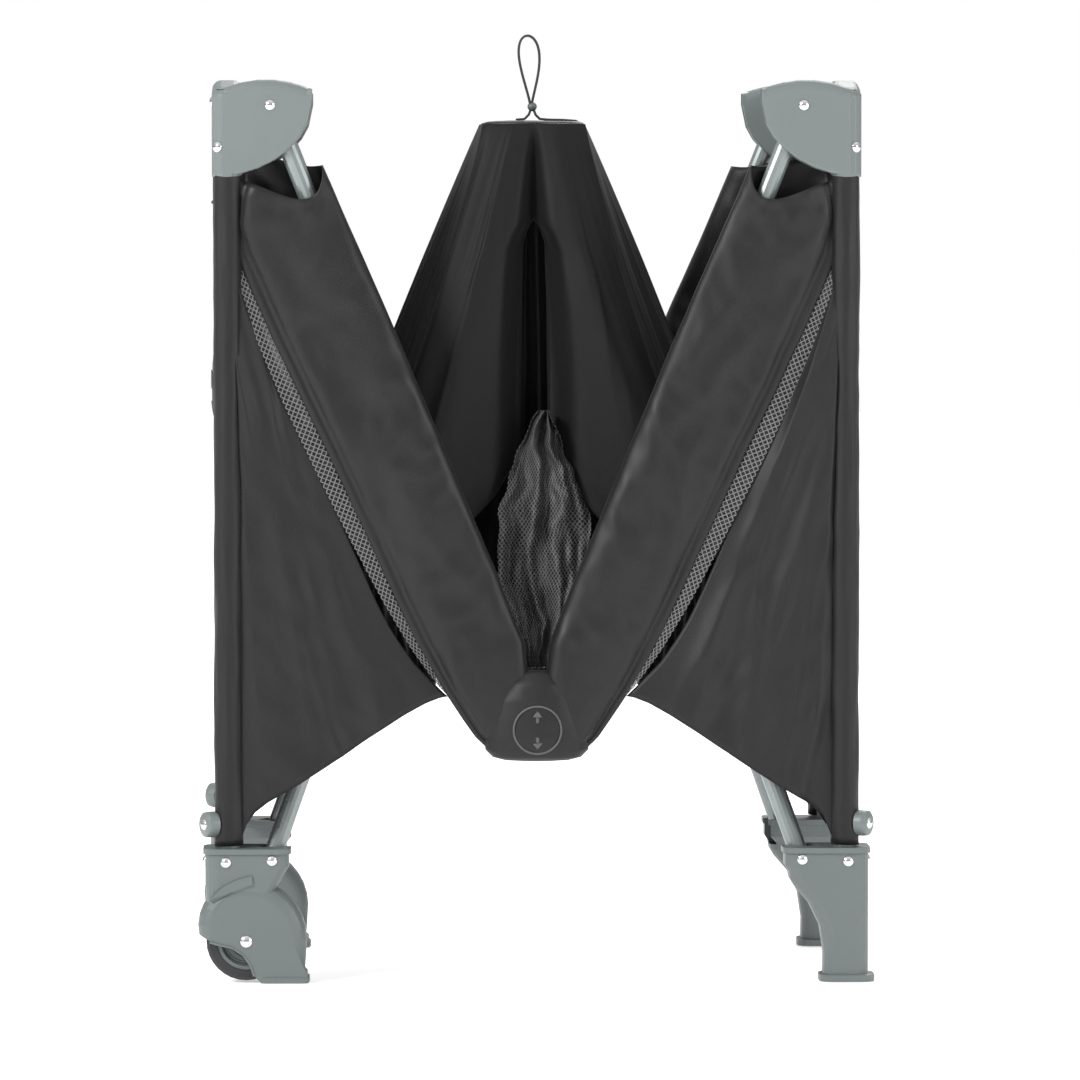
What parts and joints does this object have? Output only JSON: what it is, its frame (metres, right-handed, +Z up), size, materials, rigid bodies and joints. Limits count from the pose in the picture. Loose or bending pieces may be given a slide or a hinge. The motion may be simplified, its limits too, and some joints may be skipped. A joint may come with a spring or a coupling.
{
  "type": "folding playpen",
  "caption": "Folding travel playpen, half folded: corner posts, top rails hinged at centre latches, a rising base hub, cloth walls and floor, and wheels at one end.",
  "frame": {"origin": "on the floor, under the middle of the object's box", "axes": "+X along the long sides, from the wheeled end to the plain end; +Y from the front long side to the back one; +Z up"},
  "size_m": [0.5688, 0.3422, 0.7965],
  "materials": {
    "grey_plastic": "fine matt texture",
    "grey_steel": "satin powder coat",
    "chrome": "polished",
    "tyre": "plain tread",
    "black_fabric": "fine woven polyester and mesh",
    "strap": "woven webbing"
  },
  "bodies": {
    "post_front_left": {"post_front_left": "grey_steel", "corner_front_left": "grey_plastic", "foot_front_left": "grey_plastic", "axle_front": "chrome"},
    "post_front_right": {"post_front_right": "grey_steel", "corner_front_right": "grey_plastic", "foot_front_right": "grey_plastic"},
    "post_back_left": {"post_back_left": "grey_steel", "corner_back_left": "grey_plastic", "foot_back_left": "grey_plastic", "axle_back": "chrome"},
    "post_back_right": {"post_back_right": "grey_steel", "corner_back_right": "grey_plastic", "foot_back_right": "grey_plastic"},
    "wheel_front": {"tyre_front": "tyre", "rim_front": "grey_plastic"},
    "wheel_back": {"tyre_back": "tyre", "rim_back": "grey_plastic"},
    "hub": {"base_hub": "grey_plastic", "pull_strap": "strap"},
    "base_tube_front_left": {"base_tube_front_left": "grey_steel"},
    "floor_front_left": {"floor_cloth_front_left": "black_fabric"},
    "side_front_left": {"side_cloth_front_left": "black_fabric"},
    "end_front_left": {"end_cloth_front_left": "black_fabric"},
    "long_rail_front_left": {"long_rail_front_left": "grey_steel", "long_cover_front_left": "black_fabric"},
    "short_rail_front_left": {"short_rail_front_left": "grey_steel", "short_cover_front_left": "black_fabric"},
    "base_tube_front_right": {"base_tube_front_right": "grey_steel"},
    "floor_front_right": {"floor_cloth_front_right": "black_fabric"},
    "side_front_right": {"side_cloth_front_right": "black_fabric"},
    "end_front_right": {"end_cloth_front_right": "black_fabric"},
    "long_rail_front_right": {"long_rail_front_right": "grey_steel", "long_cover_front_right": "black_fabric"},
    "short_rail_front_right": {"short_rail_front_right": "grey_steel", "short_cover_front_right": "black_fabric"},
    "base_tube_back_left": {"base_tube_back_left": "grey_steel"},
    "floor_back_left": {"floor_cloth_back_left": "black_fabric"},
    "side_back_left": {"side_cloth_back_left": "black_fabric"},
    "end_back_left": {"end_cloth_back_left": "black_fabric"},
    "long_rail_back_left": {"long_rail_back_left": "grey_steel", "long_cover_back_left": "black_fabric"},
    "short_rail_back_left": {"short_rail_back_left": "grey_steel", "short_cover_back_left": "black_fabric"},
    "base_tube_back_right": {"base_tube_back_right": "grey_steel"},
    "floor_back_right": {"floor_cloth_back_right": "black_fabric"},
    "side_back_right": {"side_cloth_back_right": "black_fabric"},
    "end_back_right": {"end_cloth_back_right": "black_fabric"},
    "long_rail_back_right": {"long_rail_back_right": "grey_steel", "long_cover_back_right": "black_fabric"},
    "short_rail_back_right": {"short_rail_back_right": "grey_steel", "short_cover_back_right": "black_fabric"},
    "latch_front": {"latch_front": "grey_plastic"},
    "button_front": {"button_front": "grey_plastic"},
    "latch_back": {"latch_back": "grey_plastic"},
    "button_back": {"button_back": "grey_plastic"},
    "latch_left": {"latch_left": "grey_plastic"},
    "button_left": {"button_left": "grey_plastic"},
    "latch_right": {"latch_right": "grey_plastic"},
    "button_right": {"button_right": "grey_plastic"}
  },
  "joints": [
    {"name": "fold", "type": "hinge", "parent": "post_front_left", "child": "base_tube_front_left", "pos_m": [-0.22269, -0.13286, 0.103], "axis": [0.4194, -0.9078, 0], "range_deg": [-68.5, 16.5]},
    {"name": "hub_front_left", "type": "hinge", "parent": "base_tube_front_left", "child": "hub", "pos_m": [-0.01939, -0.03892, 0.67153], "axis": [-0.4194, 0.9078, 0], "range_deg": [-68.5, 16.5]},
    {"name": "hub_front_right", "type": "hinge", "parent": "hub", "child": "base_tube_front_right", "pos_m": [0.01939, -0.03892, 0.67153], "axis": [0.4194, 0.9078, 0], "range_deg": [-68.5, 16.5]},
    {"name": "foot_front_right", "type": "hinge", "parent": "base_tube_front_right", "child": "post_front_right", "pos_m": [0.22269, -0.13286, 0.103], "axis": [-0.4194, -0.9078, 0], "range_deg": [-68.5, 16.5]},
    {"name": "hub_back_left", "type": "hinge", "parent": "hub", "child": "base_tube_back_left", "pos_m": [-0.01939, 0.03892, 0.67153], "axis": [-0.4194, -0.9078, 0], "range_deg": [-68.5, 16.5]},
    {"name": "foot_back_left", "type": "hinge", "parent": "base_tube_back_left", "child": "post_back_left", "pos_m": [-0.22269, 0.13286, 0.103], "axis": [0.4194, 0.9078, 0], "range_deg": [-68.5, 16.5]},
    {"name": "hub_back_right", "type": "hinge", "parent": "hub", "child": "base_tube_back_right", "pos_m": [0.01939, 0.03892, 0.67153], "axis": [-0.4194, 0.9078, 0], "range_deg": [-68.5, 16.5]},
    {"name": "foot_back_right", "type": "hinge", "parent": "base_tube_back_right", "child": "post_back_right", "pos_m": [0.22269, 0.13286, 0.103], "axis": [0.4194, -0.9078, 0], "range_deg": [-68.5, 16.5]},
    {"name": "long_rail_front_left", "type": "hinge", "parent": "post_front_left", "child": "long_rail_front_left", "pos_m": [-0.2233, -0.14963, 0.739], "axis": [0, 1, 0], "range_deg": [-68.5, 16.5]},
    {"name": "short_rail_front_left", "type": "hinge", "parent": "post_front_left", "child": "short_rail_front_left", "pos_m": [-0.259, -0.11393, 0.739], "axis": [-1, 0, 0], "range_deg": [-68.5, 16.5]},
    {"name": "long_rail_front_right", "type": "hinge", "parent": "post_front_right", "child": "long_rail_front_right", "pos_m": [0.2233, -0.14963, 0.739], "axis": [0, -1, 0], "range_deg": [-68.5, 16.5]},
    {"name": "short_rail_front_right", "type": "hinge", "parent": "post_front_right", "child": "short_rail_front_right", "pos_m": [0.259, -0.11393, 0.739], "axis": [-1, 0, 0], "range_deg": [-68.5, 16.5]},
    {"name": "long_rail_back_left", "type": "hinge", "parent": "post_back_left", "child": "long_rail_back_left", "pos_m": [-0.2233, 0.14963, 0.739], "axis": [0, 1, 0], "range_deg": [-68.5, 16.5]},
    {"name": "short_rail_back_left", "type": "hinge", "parent": "post_back_left", "child": "short_rail_back_left", "pos_m": [-0.259, 0.11393, 0.739], "axis": [1, 0, 0], "range_deg": [-68.5, 16.5]},
    {"name": "long_rail_back_right", "type": "hinge", "parent": "post_back_right", "child": "long_rail_back_right", "pos_m": [0.2233, 0.14963, 0.739], "axis": [0, -1, 0], "range_deg": [-68.5, 16.5]},
    {"name": "short_rail_back_right", "type": "hinge", "parent": "post_back_right", "child": "short_rail_back_right", "pos_m": [0.259, 0.11393, 0.739], "axis": [1, 0, 0], "range_deg": [-68.5, 16.5]},
    {"name": "latch_front", "type": "hinge", "parent": "long_rail_front_left", "child": "latch_front", "pos_m": [-0.02, -0.14963, 0.2229], "axis": [0, -1, 0], "range_deg": [-68.5, 16.5]},
    {"name": "latch_back", "type": "hinge", "parent": "long_rail_back_left", "child": "latch_back", "pos_m": [-0.02, 0.14963, 0.2229], "axis": [0, -1, 0], "range_deg": [-68.5, 16.5]},
    {"name": "latch_left", "type": "hinge", "parent": "short_rail_front_left", "child": "latch_left", "pos_m": [-0.259, -0.02, 0.50053], "axis": [1, 0, 0], "range_deg": [-68.5, 16.5]},
    {"name": "latch_right", "type": "hinge", "parent": "short_rail_front_right", "child": "latch_right", "pos_m": [0.259, -0.02, 0.50053], "axis": [1, 0, 0], "range_deg": [-68.5, 16.5]},
    {"name": "side_front_left", "type": "slide", "parent": "post_front_left", "child": "side_front_left", "axis": [0.9778, 0, -0.2094], "range_m": [-0.11534, 0.47789], "deforming": ["side_cloth_front_left"]},
    {"name": "floor_front_left", "type": "slide", "parent": "base_tube_front_left", "child": "floor_front_left", "axis": [0.1915, -0.7813, 0.5941], "range_m": [-0.06349, 0.26263], "deforming": ["floor_cloth_front_left"]},
    {"name": "end_front_left", "type": "slide", "parent": "base_tube_front_left", "child": "end_front_left", "axis": [-0.5798, 0.6842, -0.4424], "range_m": [-0.04624, 0.19101], "deforming": ["end_cloth_front_left"]},
    {"name": "side_front_right", "type": "slide", "parent": "post_front_right", "child": "side_front_right", "axis": [-0.9778, 0, -0.2094], "range_m": [-0.11534, 0.47789], "deforming": ["side_cloth_front_right"]},
    {"name": "floor_front_right", "type": "slide", "parent": "base_tube_front_right", "child": "floor_front_right", "axis": [-0.1915, -0.7813, 0.5941], "range_m": [-0.06349, 0.26263], "deforming": ["floor_cloth_front_right"]},
    {"name": "end_front_right", "type": "slide", "parent": "base_tube_front_right", "child": "end_front_right", "axis": [0.5798, 0.6842, -0.4424], "range_m": [-0.04624, 0.19101], "deforming": ["end_cloth_front_right"]},
    {"name": "side_back_left", "type": "slide", "parent": "post_back_left", "child": "side_back_left", "axis": [0.9778, 0, -0.2094], "range_m": [-0.11534, 0.47789], "deforming": ["side_cloth_back_left"]},
    {"name": "floor_back_left", "type": "slide", "parent": "base_tube_back_left", "child": "floor_back_left", "axis": [0.1915, 0.7813, 0.5941], "range_m": [-0.06349, 0.26263], "deforming": ["floor_cloth_back_left"]},
    {"name": "end_back_left", "type": "slide", "parent": "base_tube_back_left", "child": "end_back_left", "axis": [-0.5798, -0.6842, -0.4424], "range_m": [-0.04624, 0.19101], "deforming": ["end_cloth_back_left"]},
    {"name": "side_back_right", "type": "slide", "parent": "post_back_right", "child": "side_back_right", "axis": [-0.9778, 0, -0.2094], "range_m": [-0.11534, 0.47789], "deforming": ["side_cloth_back_right"]},
    {"name": "floor_back_right", "type": "slide", "parent": "base_tube_back_right", "child": "floor_back_right", "axis": [-0.1915, 0.7813, 0.5941], "range_m": [-0.06349, 0.26263], "deforming": ["floor_cloth_back_right"]},
    {"name": "end_back_right", "type": "slide", "parent": "base_tube_back_right", "child": "end_back_right", "axis": [0.5798, -0.6842, -0.4424], "range_m": [-0.04624, 0.19101], "deforming": ["end_cloth_back_right"]},
    {"name": "button_front", "type": "slide", "parent": "latch_front", "child": "button_front", "axis": [0, 1, 0], "range_m": [0, 0.0025], "stiffness_N_per_m": 500},
    {"name": "button_back", "type": "slide", "parent": "latch_back", "child": "button_back", "axis": [0, -1, 0], "range_m": [0, 0.0025], "stiffness_N_per_m": 500},
    {"name": "button_left", "type": "slide", "parent": "latch_left", "child": "button_left", "axis": [1, 0, 0], "range_m": [0, 0.0025], "stiffness_N_per_m": 500},
    {"name": "button_right", "type": "slide", "parent": "latch_right", "child": "button_right", "axis": [-1, 0, 0], "range_m": [0, 0.0025], "stiffness_N_per_m": 500},
    {"name": "wheel_front", "type": "hinge", "parent": "post_front_left", "child": "wheel_front", "pos_m": [-0.2443, -0.14963, 0.035], "axis": [0, 1, 0], "continuous": true},
    {"name": "wheel_back", "type": "hinge", "parent": "post_back_left", "child": "wheel_back", "pos_m": [-0.2443, 0.14963, 0.035], "axis": [0, 1, 0], "continuous": true}
  ],
  "couplings": [
    {"joint": "hub_front_left", "follows": "fold", "ratio": 1},
    {"joint": "hub_front_right", "follows": "fold", "ratio": 1},
    {"joint": "foot_front_right", "follows": "fold", "ratio": 1},
    {"joint": "hub_back_left", "follows": "fold", "ratio": 1},
    {"joint": "foot_back_left", "follows": "fold", "ratio": 1},
    {"joint": "hub_back_right", "follows": "fold", "ratio": 1},
    {"joint": "foot_back_right", "follows": "fold", "ratio": 1},
    {"joint": "long_rail_front_left", "follows": "fold", "ratio": 1},
    {"joint": "short_rail_front_left", "follows": "fold", "ratio": 1},
    {"joint": "long_rail_front_right", "follows": "fold", "ratio": 1},
    {"joint": "short_rail_front_right", "follows": "fold", "ratio": 1},
    {"joint": "long_rail_back_left", "follows": "fold", "ratio": 1},
    {"joint": "short_rail_back_left", "follows": "fold", "ratio": 1},
    {"joint": "long_rail_back_right", "follows": "fold", "ratio": 1},
    {"joint": "short_rail_back_right", "follows": "fold", "ratio": 1},
    {"joint": "latch_front", "follows": "fold", "ratio": 1},
    {"joint": "latch_back", "follows": "fold", "ratio": 1},
    {"joint": "latch_left", "follows": "fold", "ratio": 1},
    {"joint": "latch_right", "follows": "fold", "ratio": 1},
    {"joint": "side_front_left", "follows": "fold", "m_per_rad": -0.39947},
    {"joint": "floor_front_left", "follows": "fold", "m_per_rad": -0.21942},
    {"joint": "end_front_left", "follows": "fold", "m_per_rad": -0.15952},
    {"joint": "side_front_right", "follows": "fold", "m_per_rad": -0.39947},
    {"joint": "floor_front_right", "follows": "fold", "m_per_rad": -0.21942},
    {"joint": "end_front_right", "follows": "fold", "m_per_rad": -0.15952},
    {"joint": "side_back_left", "follows": "fold", "m_per_rad": -0.39947},
    {"joint": "floor_back_left", "follows": "fold", "m_per_rad": -0.21942},
    {"joint": "end_back_left", "follows": "fold", "m_per_rad": -0.15952},
    {"joint": "side_back_right", "follows": "fold", "m_per_rad": -0.39947},
    {"joint": "floor_back_right", "follows": "fold", "m_per_rad": -0.21942},
    {"joint": "end_back_right", "follows": "fold", "m_per_rad": -0.15952}
  ]
}
